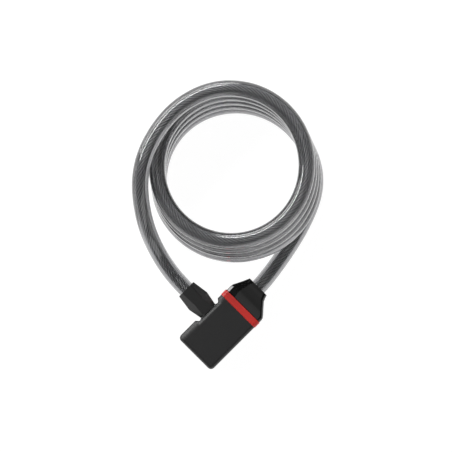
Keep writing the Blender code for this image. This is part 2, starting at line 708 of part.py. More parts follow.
def octagon(y, widths):
    """An eight-sided section of the grip, with a few points on each side."""
    half, flat = widths
    side = GRIP_SIDE_HALF
    top = GRIP_HALF_HEIGHT
    corners = ((half, -side), (half, side), (flat, top), (-flat, top),
               (-half, side), (-half, -side), (-flat, -top), (flat, -top))
    points = []
    for (x0, z0), (x1, z1) in zip(corners, corners[1:] + corners[:1]):
        for i in range(GRIP_PER_SIDE):
            share = i / GRIP_PER_SIDE
            points.append((PLUG_X + x0 + (x1 - x0) * share, y, AXIS_Z + z0 + (z1 - z0) * share))
    return points


def bore_ring(y, radius):
    """A round section of the grip's bore, point for point with an octagon."""
    return circle("Y", (PLUG_X, AXIS_Z), y, radius, 8 * GRIP_PER_SIDE, BORE_TURNED)


def add_grip():
    end = GRIP_Y + GRIP_LENGTH
    cavity_r = PLUG_FERRULE_R + GAP
    cavity = GRIP_Y + GRIP_FRONT_WALL
    cable_from = PLUG_FERRULE_Y + PLUG_FERRULE_LENGTH + GAP
    rings = [
        octagon(GRIP_Y, GRIP_FRONT), octagon(GRIP_Y + GRIP_WIDEST_AT, GRIP_WIDEST),
        octagon(end, GRIP_BACK),
        bore_ring(end, CABLE_BORE_R), bore_ring(cable_from, CABLE_BORE_R),
        bore_ring(cable_from, cavity_r), bore_ring(cavity, cavity_r),
        bore_ring(cavity, BOLT_HOLE_R), bore_ring(GRIP_Y, BOLT_HOLE_R),
    ]
    add("plug_grip", skin(rings, ring_round=True), "grip_black", plug_axis)


def add_plug_ferrule():
    end = PLUG_FERRULE_Y + PLUG_FERRULE_LENGTH
    add("plug_ferrule", turned("Y", (PLUG_X, AXIS_Z), (
        (PLUG_FERRULE_Y, BOLT_HOLE_R), (PLUG_FERRULE_Y, PLUG_FERRULE_R),
        (end, PLUG_FERRULE_R), (end, BOLT_HOLE_R),
    ), ring_round=True), "steel", plug_axis)


def add_seal():
    front = RECESS_FLOOR_Y + 0.15
    inner = BOLT_HOLE_R + GAP
    add("socket_seal", turned("Y", (PLUG_X, AXIS_Z), (
        (front - SEAL_LENGTH, inner), (front - SEAL_LENGTH, SEAL_R), (front, SEAL_R), (front, inner),
    ), ring_round=True), "rubber", head)


def add_cable_ferrule():
    flange = POCKET_X + GAP
    add("cable_ferrule", turned("X", (EXIT_Y, AXIS_Z), (
        (flange, FERRULE_FLANGE_R), (flange + FERRULE_FLANGE_T, FERRULE_FLANGE_R),
        (flange + FERRULE_FLANGE_T, FERRULE_R), (FERRULE_END_X, FERRULE_R),
        (FERRULE_END_X, FERRULE_BORE_R), (FERRULE_END_X - FERRULE_BORE_DEPTH, FERRULE_BORE_R),
    )), "steel", head)


# Cable

def climb(turn):
    """How many levels of the coil lie under the cable at this turn, ramps included."""
    levels_below = RAMP_TO + 3 - turn
    whole = math.floor(levels_below)
    part = (levels_below - whole) / (RAMP_TO - RAMP_FROM)
    part = min(part, 1.0)
    return whole + part * part * (3 - 2 * part) if turn < RAMP_TO + 3 else 0.0


def coil_direction(turn, first=1.0, second=1.0):
    """A horizontal vector from the coil's middle at this turn, stretched along the coil's axes."""
    angle = math.pi - 2 * math.pi * turn
    turned = math.radians(COIL_TURNED_DEG)
    a = first * math.cos(angle)
    b = second * math.sin(angle)
    return np.array((
        a * math.cos(turned) - b * math.sin(turned), a * math.sin(turned) + b * math.cos(turned), 0))


def coil_point(turn):
    """The middle of the cable in the coil: each turn leans over the one below it."""
    middle = np.array((
        COIL_CENTRE[0] + COIL_LEAN[0] * turn,
        COIL_CENTRE[1] + COIL_LEAN[1] * turn,
        CABLE_D / 2 + 0.05 + TURN_PITCH * climb(turn),
    ))
    return middle + coil_direction(
        turn, COIL_R[0] + COIL_SPREAD[0] * turn, COIL_R[1] + COIL_SPREAD[1] * turn)


def smooth_curve(points):
    """A natural cubic spline through the points, as (lengths at the points, function of length)."""
    points = np.array(points, float)
    knots = np.concatenate(([0], np.cumsum(np.linalg.norm(np.diff(points, axis=0), axis=1))))
    gaps = np.diff(knots)
    count = len(points)
    matrix = np.eye(count)
    right = np.zeros((count, 3))
    slopes = np.diff(points, axis=0) / gaps[:, None]
    for i in range(1, count - 1):
        matrix[i, i - 1:i + 2] = gaps[i - 1], 2 * (gaps[i - 1] + gaps[i]), gaps[i]
        right[i] = 6 * (slopes[i] - slopes[i - 1])
    bends = np.linalg.solve(matrix, right)

    def at(length):
        i = min(max(np.searchsorted(knots, length) - 1, 0), count - 2)
        h = gaps[i]
        a = (knots[i + 1] - length) / h
        b = (length - knots[i]) / h
        return (a * points[i] + b * points[i + 1]
                + ((a ** 3 - a) * bends[i] + (b ** 3 - b) * bends[i + 1]) * h * h / 6)

    return knots, at


def add_tube(name, at, start, end):
    """A run of cable as a round bevel along points read from the smooth curve."""
    steps = math.ceil((end - start) / TUBE_STEP)
    curve = bpy.data.curves.new(name, "CURVE")
    curve.dimensions = "3D"
    curve.bevel_depth = CABLE_D / 2 * MM
    curve.bevel_resolution = CABLE_SIDES_RESOLUTION
    curve.use_fill_caps = True
    spline = curve.splines.new("POLY")
    spline.points.add(steps)
    for i in range(steps + 1):
        spline.points[i].co = (*(at(start + (end - start) * i / steps) * MM), 1)
    curve.materials.append(finish("cable_sheath"))
    made = bpy.data.objects.new(name, curve)
    bpy.context.collection.objects.link(made)
    made.parent = head


def coil_section(high_turn, low_turn):
    """The coil's outline where it is cut across: round over its top pass and under its lowest."""
    out = coil_direction(high_turn)
    up = np.array((0, 0, 1))
    points = []
    for centre, first in ((coil_point(high_turn), 0), (coil_point(low_turn), 180)):
        for i in range(6):
            turn = math.radians(first + 36 * i)
            points.append(tuple(centre + CABLE_D / 2 * (math.cos(turn) * out + math.sin(turn) * up)))
    return points


def add_coil():
    """One solid of the coil's outer shape, stepped where the cable joins it and where it leaves."""
    last_share = TURN_LAST % 1
    shares = [TURN_FIRST + i / COIL_STATIONS for i in range(COIL_STATIONS)]
    stops = sorted(shares + [last_share, last_share + STEP_TURN, TURN_FIRST + 1 - STEP_TURN])
    rings = []
    for turn in stops:
        low = turn
        while low + 1 <= TURN_LAST + 1e-9:
            low += 1
        rings.append(coil_section(turn, low))
    add("cable_coil", skin(rings, ring_round=True), "cable_sheath", head,
        (COIL_CENTRE[0], COIL_CENTRE[1], 0))


def add_cable():
    per_turn = 16
    count = math.ceil((TURN_LAST - TURN_FIRST) * per_turn)
    turns = [TURN_FIRST + (TURN_LAST - TURN_FIRST) * i / count for i in range(count + 1)]
    points = [*LEFT_ROUTE, *(coil_point(turn) for turn in turns), *RIGHT_ROUTE]
    knots, at = smooth_curve(points)
    first = len(LEFT_ROUTE)
    add_tube("cable_left_run", at, 0, knots[first] - COIL_GAP)
    add_coil()
    add_tube("cable_right_run", at, knots[first + count] + COIL_GAP, knots[-1])


add_housing()
add_ring()
add_cap()
add_castings()
add_screws()
add_cylinder()
add_wafers()
add_springs()
add_bezel()
add_clip()
add_cam()
add_latch()
add_bolt()
add_grip()
add_plug_ferrule()
add_seal()
add_cable_ferrule()
add_cable()
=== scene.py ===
"""Looks of a key-operated cable lock: a moulded head, and a coiled steel cable in smoky PVC."""
import math

import bpy
import numpy as np
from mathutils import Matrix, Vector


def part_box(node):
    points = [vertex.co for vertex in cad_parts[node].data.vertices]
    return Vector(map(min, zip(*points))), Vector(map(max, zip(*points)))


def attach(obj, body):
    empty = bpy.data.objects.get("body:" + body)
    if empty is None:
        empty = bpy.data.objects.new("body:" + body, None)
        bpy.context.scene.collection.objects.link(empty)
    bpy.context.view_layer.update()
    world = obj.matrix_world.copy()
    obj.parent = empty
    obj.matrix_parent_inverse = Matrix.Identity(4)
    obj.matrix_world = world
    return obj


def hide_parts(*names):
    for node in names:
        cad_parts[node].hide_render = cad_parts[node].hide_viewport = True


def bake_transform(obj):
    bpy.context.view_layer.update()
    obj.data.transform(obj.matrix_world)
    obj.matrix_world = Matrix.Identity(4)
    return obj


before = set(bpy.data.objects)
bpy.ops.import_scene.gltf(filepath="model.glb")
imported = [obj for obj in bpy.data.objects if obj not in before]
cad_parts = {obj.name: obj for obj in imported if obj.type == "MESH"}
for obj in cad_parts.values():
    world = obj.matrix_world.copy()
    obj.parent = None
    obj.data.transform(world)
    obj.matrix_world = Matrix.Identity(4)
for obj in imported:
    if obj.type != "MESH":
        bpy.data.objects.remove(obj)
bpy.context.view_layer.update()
MM = 0.001


# Camera: straight above the lock, with the head's length running up to the right of the picture.
# It stands far off behind a long lens, so that near and far turns of the cable are drawn alike.

CAMERA_LOOKS_AT = (0.0479, 0.0493, 0.030)
CAMERA_DISTANCE = 12.0
VIEW_WIDTH = 0.3248
FILM_WIDTH_MM = 36.0

lens = bpy.data.cameras.new("camera")
lens.sensor_width = FILM_WIDTH_MM
lens.lens = FILM_WIDTH_MM * CAMERA_DISTANCE / VIEW_WIDTH
lens.clip_end = 4 * CAMERA_DISTANCE
camera = bpy.data.objects.new("camera", lens)
camera.location = np.add(CAMERA_LOOKS_AT, (0, 0, CAMERA_DISTANCE))
camera.rotation_euler = (0, 0, math.radians(-45))
bpy.context.collection.objects.link(camera)
bpy.context.scene.camera = camera


# Cable: 12 mm over a translucent smoke-grey PVC sheath, extruded over a steel wire rope.
# It leaves the end cap, lies in four and a quarter turns that lean over one another, and comes
# down from the top turn to the grip of the plug.

CABLE_D = 12 * MM
COIL_CENTRE = np.array((82.55, 78.91)) * MM
COIL_LEAN = np.array((-1.455, -2.857)) * MM  # how far the middle moves in one turn
COIL_R = np.array((53.59, 53.94)) * MM  # along the coil's two axes
COIL_SPREAD = np.array((0.572, 0.115)) * MM  # how much the axes grow in one turn
COIL_TURNED = math.radians(-45)  # the first axis, from +X
TURN_FIRST = 0.25  # turns are counted from the top, where the run to the plug joins
TURN_LAST = 4.50
RAMP_FROM = 0.60  # in each turn the cable comes down between these two, and is level elsewhere
RAMP_TO = 1.10
RAMPS = 4
TURN_PITCH = 12.25 * MM  # height of a ramp
TABLE_GAP = 0.05 * MM  # under the lowest turn
POINTS_PER_TURN = 16
CABLE_STEP = 2 * MM  # between the rings of points round it
SHEATH_SIDES = 40
SHARP_FROM = math.radians(35)  # edges that bend more than this stay crisp
LEFT_ROUTE = np.array((  # from the plug up on to the coil
    (-4.5, 25.0, 11.0),
    (-4.5, 31.0, 11.0),
    (-4.5, 38.0, 11.0),
    (-4.1, 48.7, 11.8),
    (-2.7, 59.3, 14.0),
    (-0.4, 69.2, 17.9),
    (4.2, 82.7, 25.9),
    (10.3, 94.7, 35.3),
    (15.4, 102.3, 40.9),
    (23.6, 112.2, 47.4),
    (32.9, 120.3, 51.2),
    (43.5, 126.5, 53.1),
    (55.6, 130.9, 54.1),
    (69.6, 133.5, 54.8),
    (82.4, 133.7, 55.0),
    (94.8, 131.4, 55.05),
    (105.9, 127.1, 55.05),
    (113.8, 122.2, 55.05),
)) * MM
RIGHT_ROUTE = np.array((  # from under the coil to the end cap
    (105.9, 19.1, 6.05),
    (94.3, 13.8, 6.05),
    (82.6, 9.9, 6.1),
    (72.5, 7.4, 6.5),
    (63.3, 5.5, 7.3),
    (52.8, 3.7, 8.7),
    (42.5, 2.3, 10.4),
    (33.4, 1.7, 11.0),
    (27.0, 1.7, 11.0),
    (20.3, 1.7, 11.0),
)) * MM


def coil_points(turns):
    """Middles of the cable at these turns: an ellipse whose centre moves and whose axes grow
    with the turn, at a height that falls by one pitch over a smooth ramp in every turn."""
    levels = RAMP_TO + RAMPS - 1 - turns
    part = np.minimum((levels - np.floor(levels)) / (RAMP_TO - RAMP_FROM), 1)
    level = np.where(levels > 0, np.floor(levels) + part * part * (3 - 2 * part), 0)
    angle = math.pi - 2 * math.pi * turns
    a = (COIL_R[0] + COIL_SPREAD[0] * turns) * np.cos(angle)
    b = (COIL_R[1] + COIL_SPREAD[1] * turns) * np.sin(angle)
    c, s = math.cos(COIL_TURNED), math.sin(COIL_TURNED)
    middle = COIL_CENTRE + turns[:, None] * COIL_LEAN
    return np.column_stack((
        middle[:, 0] + a * c - b * s,
        middle[:, 1] + a * s + b * c,
        CABLE_D / 2 + TABLE_GAP + TURN_PITCH * level,
    ))


def smooth_line(points, step):
    """A natural cubic spline through the points, read at even steps of the length between them."""
    knots = np.concatenate(([0], np.cumsum(np.linalg.norm(np.diff(points, axis=0), axis=1))))
    gaps = np.diff(knots)
    slopes = np.diff(points, axis=0) / gaps[:, None]
    matrix = np.eye(len(points))
    inner = np.arange(1, len(points) - 1)
    matrix[inner, inner - 1] = gaps[:-1]
    matrix[inner, inner] = 2 * (gaps[:-1] + gaps[1:])
    matrix[inner, inner + 1] = gaps[1:]
    bends = np.zeros_like(points)
    bends[1:-1] = 6 * np.diff(slopes, axis=0)
    bends = np.linalg.solve(matrix, bends)
    at = np.linspace(0, knots[-1], round(knots[-1] / step) + 1)
    i = np.clip(np.searchsorted(knots, at) - 1, 0, len(gaps) - 1)
    h = gaps[i][:, None]
    a = (knots[i + 1][:, None] - at[:, None]) / h
    b = 1 - a
    return (a * points[i] + b * points[i + 1]
            + ((a ** 3 - a) * bends[i] + (b ** 3 - b) * bends[i + 1]) * h * h / 6)


def along_line(line, angles, radii):
    """Rings round a line: each ring point is the line's point plus radius times the cosine of
    its angle sideways and its sine upwards, square to the line.  Angles and radii are grids."""
    ahead = np.gradient(line, axis=0)
    ahead /= np.linalg.norm(ahead, axis=1)[:, None]
    side = np.cross(ahead, (0, 0, 1))
    side /= np.linalg.norm(side, axis=1)[:, None]
    up = np.cross(side, ahead)
    return (line[:, None] + (radii * np.cos(angles))[..., None] * side[:, None]
            + (radii * np.sin(angles))[..., None] * up[:, None])


def grid_mesh(name, grid, ring=False):
    """A mesh object from a grid of points.  Each row's last point joins its first.  Flat ends
    close the first and last rows, unless the last row joins the first in a ring."""
    rows, columns = grid.shape[:2]
    r = np.arange(rows if ring else rows - 1)[:, None]
    c = np.arange(columns)[None, :]
    there, beside = (r + 1) % rows, (c + 1) % columns
    quads = np.stack((r * columns + c, r * columns + beside,
                      there * columns + beside, there * columns + c), axis=-1)
    faces = quads.reshape(-1, 4).tolist()
    if not ring:
        faces.append(list(range(columns))[::-1])
        faces.append(list(range((rows - 1) * columns, rows * columns)))
    mesh = bpy.data.meshes.new(name)
    mesh.from_pydata(grid.reshape(-1, 3).tolist(), [], faces)
    made = bpy.data.objects.new(name, mesh)
    bpy.context.collection.objects.link(made)
    face_outwards(mesh)
    mesh.shade_smooth()
    mesh.set_sharp_from_angle(angle=SHARP_FROM)
    return made


def face_outwards(mesh):
    """Turns every face over if the shell's signed volume, summed over its corners, is below 0."""
    mesh.calc_loop_triangles()
    corners = np.zeros(len(mesh.loop_triangles) * 3, np.int32)
    mesh.loop_triangles.foreach_get("vertices", corners)
    points = np.zeros(len(mesh.vertices) * 3)
    mesh.vertices.foreach_get("co", points)
    a, b, c = points.reshape(-1, 3)[corners.reshape(-1, 3)].transpose(1, 0, 2)
    if np.einsum("ij,ij->", a, np.cross(b, c)) < 0:
        mesh.flip_normals()


def linear(colour):
    """An sRGB hex colour as linear red, green, blue and alpha."""
    parts = [int(colour[i:i + 2], 16) / 255 for i in (1, 3, 5)]
    return (*(p / 12.92 if p <= 0.04045 else ((p + 0.055) / 1.055) ** 2.4 for p in parts), 1)


def add_node(tree, kind, settings=(), links=(), stops=()):
    """Adds a node, sets its properties or input values by name, and links inputs to outputs.
    A ramp's stops are places in rising order, each with its colour."""
    node = tree.nodes.new(kind)
    for key, value in dict(settings).items():
        if key in node.inputs.keys():
            node.inputs[key].default_value = value
        else:
            setattr(node, key, value)
    for key, output in dict(links).items():
        tree.links.new(output, node.inputs[key])
    for _ in stops[2:]:
        node.color_ramp.elements.new(1.0)
    for i, (place, colour) in enumerate(stops):
        node.color_ramp.elements[i].position = place
        node.color_ramp.elements[i].color = colour
    return node


def new_material(name, **values):
    """A material with one Principled shader, whose sockets are set from the values given."""
    material = bpy.data.materials.new(name)
    material.use_nodes = True
    for key, value in values.items():
        shader_inputs(material)[key.replace("_", " ")].default_value = value
    return material


def shader_inputs(material):
    """The sockets of a material's Principled shader."""
    return material.node_tree.nodes["Principled BSDF"].inputs


count = math.ceil((TURN_LAST - TURN_FIRST) * POINTS_PER_TURN)
turns = np.linspace(TURN_FIRST, TURN_LAST, count + 1)
cable_line = smooth_line(np.vstack((LEFT_ROUTE, coil_points(turns), RIGHT_ROUTE)), CABLE_STEP)
cable_length = float(np.linalg.norm(np.diff(cable_line, axis=0), axis=1).sum())
run = np.linspace(0, cable_length, len(cable_line))

ring_angles = np.linspace(0, 2 * math.pi, SHEATH_SIDES, endpoint=False)
sheath = grid_mesh("cable_sheath", along_line(
    cable_line, np.tile(ring_angles, (len(run), 1)),
    np.full((len(run), SHEATH_SIDES), CABLE_D / 2)))

# Plasticised PVC, clear with a smoke-grey dye: glossy from the die, and dark where it is thick.
smoke_pvc = new_material(
    "smoke_grey_pvc", Base_Color=linear("#98989a"), Roughness=0.07, IOR=1.42,
    Transmission_Weight=0.93, Coat_Weight=1.0, Coat_IOR=1.6, Coat_Roughness=0.04)
sheath.data.materials.append(smoke_pvc)

# Wire rope: nine galvanised steel wires laid right-handed round a core.  The dye of the
# sheath darkens them, and the sheath's roundness makes them look wider than they are.
ROPE_WIRES = 9
ROPE_LAY = 34 * MM  # length in which a wire goes once round
ROPE_R = 2.5 * MM
SIDES_PER_WIRE = 8

wire_half = math.pi / ROPE_WIRES
wire_r = ROPE_R * math.sin(wire_half) / (1 + math.sin(wire_half))
rope_angles = np.arange(ROPE_WIRES * SIDES_PER_WIRE) / SIDES_PER_WIRE * 2 * wire_half
across = (rope_angles + wire_half) % (2 * wire_half) - wire_half
rope_radii = ((ROPE_R - wire_r) * np.cos(across)
              + np.sqrt(np.maximum(wire_r ** 2 - ((ROPE_R - wire_r) * np.sin(across)) ** 2, 0)))
rope_twist = -2 * math.pi * run / ROPE_LAY
rope = grid_mesh("wire_rope", along_line(
    cable_line, rope_angles[None] + rope_twist[:, None], np.tile(rope_radii, (len(run), 1))))
groove = rope.data.attributes.new("groove", "FLOAT", "POINT")
groove.data.foreach_set(
    "value", np.tile(np.abs(across) / wire_half, len(run)).astype(np.float32))

# Zinc-coated wire: grey on the crests, with painted shade that darkens the colour towards the
# grooves between the wires.
wire_steel = new_material("galvanised_wire", Metallic=0.6, Roughness=0.45)
tree = wire_steel.node_tree
depth = add_node(tree, "ShaderNodeAttribute", {"attribute_name": "groove"})
# Painted shade: the ramp runs from light on each wire's crest to dark in the grooves, where the
# wires would shadow one another.
shade = add_node(tree, "ShaderNodeValToRGB", links={"Fac": depth.outputs["Fac"]}, stops=(
    (0.0, linear("#e4e5e6")), (0.45, linear("#d4d5d6")), (1.0, linear("#979798"))))
tree.links.new(shade.outputs["Color"], shader_inputs(wire_steel)["Base Color"])
rope.data.materials.append(wire_steel)

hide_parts("cable_left_run", "cable_coil", "cable_right_run")

FOLLOWS_FROM = 55 * MM  # along the cable from its end in the grip
FOLLOWS_TO = 215 * MM
for piece in (sheath, rope):
    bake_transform(piece)
    share = np.clip((FOLLOWS_TO - run) / (FOLLOWS_TO - FOLLOWS_FROM), 0, 1)
    share = share * share * (3 - 2 * share)


# Grip of the plug: an eight-sided black nylon moulding, widest near its middle, which the bolt
# and the cable's end are fixed in.

grip_low, grip_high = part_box("plug_grip")
GRIP_AXIS = np.array(((grip_low.x + grip_high.x) / 2, (grip_low.z + grip_high.z) / 2))
GRIP_HALF_HEIGHT = (grip_high.z - grip_low.z) / 2
GRIP_SIDE_HALF = 3.6 * MM  # half height of the flats at its sides
GRIP_LENGTH = 22.4 * MM
COLLAR = 0.38 * MM  # a lip that fills the gap to the head's recess
GRIP_SECTIONS = (  # along the grip; half width, half width of the flat top
    (-COLLAR, 8.1 * MM, 5.4 * MM), (0.0, 8.1 * MM, 5.4 * MM), (0.0, 7.1 * MM, 4.6 * MM),
    (10.3 * MM, 9.05 * MM, 3.6 * MM), (GRIP_LENGTH, 7.3 * MM, 4.2 * MM),
)
CABLE_BORE_R = 6.3 * MM
BOLT_BORE_R = 4.3 * MM
BORES_MEET = 12 * MM
GRIP_BORES = ((GRIP_LENGTH, CABLE_BORE_R), (BORES_MEET, CABLE_BORE_R),
              (BORES_MEET, BOLT_BORE_R), (-COLLAR, BOLT_BORE_R))
POINTS_PER_FLAT = 4


def eight_sided(half, flat):
    """Points (x, z) evenly along the eight sides between the corners that the widths give."""
    corners = np.array(((half, -GRIP_SIDE_HALF), (half, GRIP_SIDE_HALF),
                        (flat, GRIP_HALF_HEIGHT), (-flat, GRIP_HALF_HEIGHT)))
    corners = np.concatenate((corners, -corners))
    share = (np.arange(POINTS_PER_FLAT) / POINTS_PER_FLAT)[:, None]
    return np.concatenate(
        [a + (b - a) * share for a, b in zip(corners, np.roll(corners, -1, axis=0))])


def soften_edges(piece, width, segments, from_degrees):
    """Rounds every edge at which two faces bend by more than an angle."""
    bevel = piece.modifiers.new("softened_edges", "BEVEL")
    bevel.width = width
    bevel.segments = segments
    bevel.limit_method = "ANGLE"
    bevel.angle_limit = math.radians(from_degrees)
    return bevel


round_bore = np.arange(8 * POINTS_PER_FLAT) / POINTS_PER_FLAT * math.pi / 4 - math.pi / 8
bore = np.column_stack((np.cos(round_bore), np.sin(round_bore)))
grip_rows = [(y, eight_sided(half, flat)) for y, half, flat in GRIP_SECTIONS]
grip_rows += [(y, radius * bore) for y, radius in GRIP_BORES]
grip_grid = np.array([
    np.insert(GRIP_AXIS + section, 1, grip_low.y + y, axis=1) for y, section in grip_rows])
grip = grid_mesh("grip", grip_grid, ring=True)
soften_edges(grip, width=0.25 * MM, segments=2, from_degrees=8).harden_normals = True
grip.data.shade_smooth()

GRAIN_DEPTH = 0.1 * MM
WORN_PATCH = 9 * MM  # across a patch that is a little more or less glossy


def grain_surface(material, grain_mm, strength, roughness, spread):
    """Noise of the grain's size bumps a surface, and noise of a worn patch's size moves its
    roughness by the spread to either side."""
    nodes = material.node_tree
    where = add_node(nodes, "ShaderNodeTexCoord").outputs["Object"]
    grain = add_node(nodes, "ShaderNodeTexNoise", {
        "Scale": 1 / (grain_mm * MM), "Detail": 2.0}, {"Vector": where})
    bump = add_node(nodes, "ShaderNodeBump", {
        "Strength": strength, "Distance": GRAIN_DEPTH}, {"Height": grain.outputs["Fac"]})
    patches = add_node(nodes, "ShaderNodeTexNoise", {
        "Scale": 1 / WORN_PATCH, "Detail": 3.0}, {"Vector": where})
    rough = add_node(nodes, "ShaderNodeMapRange", {
        "To Min": roughness - spread, "To Max": roughness + spread},
        {"Value": patches.outputs["Fac"]})
    nodes.links.new(bump.outputs["Normal"], shader_inputs(material)["Normal"])
    nodes.links.new(rough.outputs["Result"], shader_inputs(material)["Roughness"])


# Nylon from a fine-blasted mould: a dark grey with a soft sheen on each flat.
grip_nylon = new_material("moulded_nylon_black", Base_Color=linear("#232323"), IOR=1.5)
grain_surface(grip_nylon, grain_mm=0.5, strength=0.25, roughness=0.42, spread=0.06)
grip.data.materials.append(grip_nylon)
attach(grip, "plug")
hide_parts("plug_grip")


# Housing: one ABS shell with rounded edges and a spark-eroded matt face.  A shallow recess across
# its side takes the grip, and the key end has a round hole for the lock's face.

house_low, house_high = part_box("outer_housing")
bezel_low, bezel_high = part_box("keyhole_bezel")
EDGE_R = 2.8 * MM
PLUG_SIDE_EDGE = 4.9 * MM  # the edge along the plug's side rounds over this much of the face
CORNER_R = 3.1 * MM
WALL_SIDE = 3.2 * MM
WALL_FACE = 2.2 * MM
RECESS_DEPTH = 2.2 * MM
RECESS_FLOOR_HALF = 9.6 * MM
RECESS_MOUTH_HALF = 11.5 * MM
SEAL_HOLE_R = 6.3 * MM
BEZEL_GAP = 0.3 * MM
KEY_HOLE_R = (bezel_high.y - bezel_low.y) / 2 + BEZEL_GAP
STEPS_PER_ARC = 10
BORE_SIDES = 48
CUT_PAST = 2 * MM  # how far a cutter reaches past what it cuts


def housing_grid():
    """Outlines seen from above, drawn in by 1 - sine along a quarter circle at top and bottom.
    The plug's side is drawn in further, for its broader edge.  Each outline has square corners
    at the ring, quarter circles at the key end, and the recess, whose corners move aside by the
    inset times the tangent of half its slope."""
    quarter = np.linspace(0, math.pi / 2, STEPS_PER_ARC)
    inset = EDGE_R * (1 - np.sin(quarter))
    rise = EDGE_R * (1 - np.cos(quarter))
    insets = np.concatenate((inset, inset[::-1]))
    heights = np.concatenate((house_low.z + rise, house_high.z - rise[::-1]))
    half = house_high.y - insets[:, None]
    top_half = house_high.y - insets[:, None] * PLUG_SIDE_EDGE / EDGE_R
    x0 = house_low.x + insets[:, None]
    radius = CORNER_R - insets[:, None]
    slope = math.atan2(RECESS_DEPTH, RECESS_MOUTH_HALF - RECESS_FLOOR_HALF)
    aside = insets[:, None] * math.tan(slope / 2)
    xs = [np.full_like(half, house_high.x)] * 2
    ys = [-half, top_half]
    floor = half - RECESS_DEPTH
    for side, wide, y in ((1, RECESS_MOUTH_HALF, top_half), (1, RECESS_FLOOR_HALF, floor),
                          (-1, RECESS_FLOOR_HALF, floor), (-1, RECESS_MOUTH_HALF, top_half)):
        xs.append(GRIP_AXIS[0] + side * (wide + aside))
        ys.append(y)
    for middle, first in ((top_half - radius, math.pi / 2), (radius - half, math.pi)):
        turn = first + quarter[None]
        xs.append(x0 + radius + radius * np.cos(turn))
        ys.append(middle + radius * np.sin(turn))
    x = np.concatenate(xs, axis=1)
    y = np.concatenate(ys, axis=1)
    return np.stack((x, y, np.broadcast_to(heights[:, None], x.shape)), axis=-1)


def bore_grid(axis, centre, first, last, radius):
    """A cylinder from first to last along an axis: two circles of the radius round a centre."""
    angle = np.linspace(0, 2 * math.pi, BORE_SIDES, endpoint=False)
    circle = np.column_stack((
        centre[0] + radius * np.cos(angle), centre[1] + radius * np.sin(angle)))
    return np.array([np.insert(circle, "XYZ".index(axis), end, axis=1) for end in (first, last)])


def box_grid(low, high):
    """A box as two square rows of four corners."""
    corners = ((low[0], low[1]), (high[0], low[1]), (high[0], high[1]), (low[0], high[1]))
    return np.array([[(x, y, z) for x, y in corners] for z in (low[2], high[2])])


def cut(piece, grids):
    """Takes solids away from a piece, and leaves it a plain mesh with no cutters behind."""
    cutters = [grid_mesh("cutter", grid) for grid in grids]
    for cutter in cutters:
        boolean = piece.modifiers.new("cut", "BOOLEAN")
        boolean.operation = "DIFFERENCE"
        boolean.solver = "EXACT"
        boolean.object = cutter
    bake(piece)
    for cutter in cutters:
        bpy.data.objects.remove(cutter)


def bake(piece):
    """Swaps a piece's mesh for what its modifiers make of it."""
    bpy.context.view_layer.update()
    graph = bpy.context.evaluated_depsgraph_get()
    shaped = bpy.data.meshes.new_from_object(piece.evaluated_get(graph))
    piece.modifiers.clear()
    piece.data = shaped


def weigh_normals(piece):
    """Keeps flats flat and edges round in the shading, by giving large faces more say."""
    weighted = piece.modifiers.new("flats_stay_flat", "WEIGHTED_NORMAL")
    weighted.keep_sharp = True


housing = grid_mesh("housing", housing_grid())
mid_z = (house_low.z + house_high.z) / 2
cut(housing, (
    box_grid((house_low.x + WALL_SIDE, house_low.y + WALL_SIDE, house_low.z + WALL_FACE),
             (house_high.x + CUT_PAST, house_high.y - WALL_SIDE, house_high.z - WALL_FACE)),
    bore_grid("Y", GRIP_AXIS, house_high.y - WALL_SIDE - CUT_PAST, house_high.y, SEAL_HOLE_R),
    bore_grid("X", (0, mid_z), house_low.x - CUT_PAST, house_low.x + WALL_SIDE + CUT_PAST,
              KEY_HOLE_R),
))
housing.data.shade_smooth()
housing.data.set_sharp_from_angle(angle=math.radians(30))
weigh_normals(housing)

# ABS from a spark-eroded mould: black, with a fine pebble that spreads the light to a dull grey.
housing_abs = new_material(
    "spark_eroded_abs_black", Base_Color=linear("#101011"), IOR=1.5, Specular_IOR_Level=0.8)
grain_surface(housing_abs, grain_mm=0.6, strength=0.5, roughness=0.5, spread=0.05)
housing.data.materials.append(housing_abs)
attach(housing, "head")
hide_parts("outer_housing")


# Ring: a red polycarbonate band, moulded in one piece and a hair proud of its neighbours.
# It sits round the castings, and is held between housing and cap.

ring_low, ring_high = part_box("accent_ring")
RING_CORNER_R = 3.2 * MM
RING_WALL = 1.7 * MM
RING_EDGE_R = 0.4 * MM
RING_SNUG = 0.27 * MM  # it fills the seams to the housing and the cap
RING_CORNER_POINTS = 9
RING_EDGE_POINTS = 5


def rounded_section(low_y, high_y, low_z, high_z, radius):
    """Points (y, z) round a rectangle whose corners are quarter circles."""
    turn = np.linspace(0, math.pi / 2, RING_CORNER_POINTS)
    parts = []
    for quarter, (right, up) in enumerate(((1, 1), (0, 1), (0, 0), (1, 0))):
        angle = turn + quarter * math.pi / 2
        parts.append(np.column_stack((
            (high_y - radius if right else low_y + radius) + radius * np.cos(angle),
            (high_z - radius if up else low_z + radius) + radius * np.sin(angle))))
    return np.concatenate(parts)


def ring_grid():
    """The band's cross-section, rounded at both rims, carried round a rounded rectangle."""
    quarter = np.linspace(0, math.pi / 2, RING_EDGE_POINTS)
    along = RING_EDGE_R * (1 - np.cos(quarter))
    insets = RING_EDGE_R * (1 - np.sin(quarter))
    first, last = ring_low.x - RING_SNUG, ring_high.x + RING_SNUG
    rows = [(first, RING_WALL), *zip(first + along, insets)]
    rows += [*zip(last - along[::-1], insets[::-1]), (last, RING_WALL)]
    grid = []
    for x, inset in rows:
        section = rounded_section(ring_low.y + inset, ring_high.y - inset, ring_low.z + inset,
                                  ring_high.z - inset, RING_CORNER_R - inset)
        grid.append(np.insert(section, 0, x, axis=1))
    return np.array(grid)


ring = grid_mesh("ring", ring_grid(), ring=True)
weigh_normals(ring)

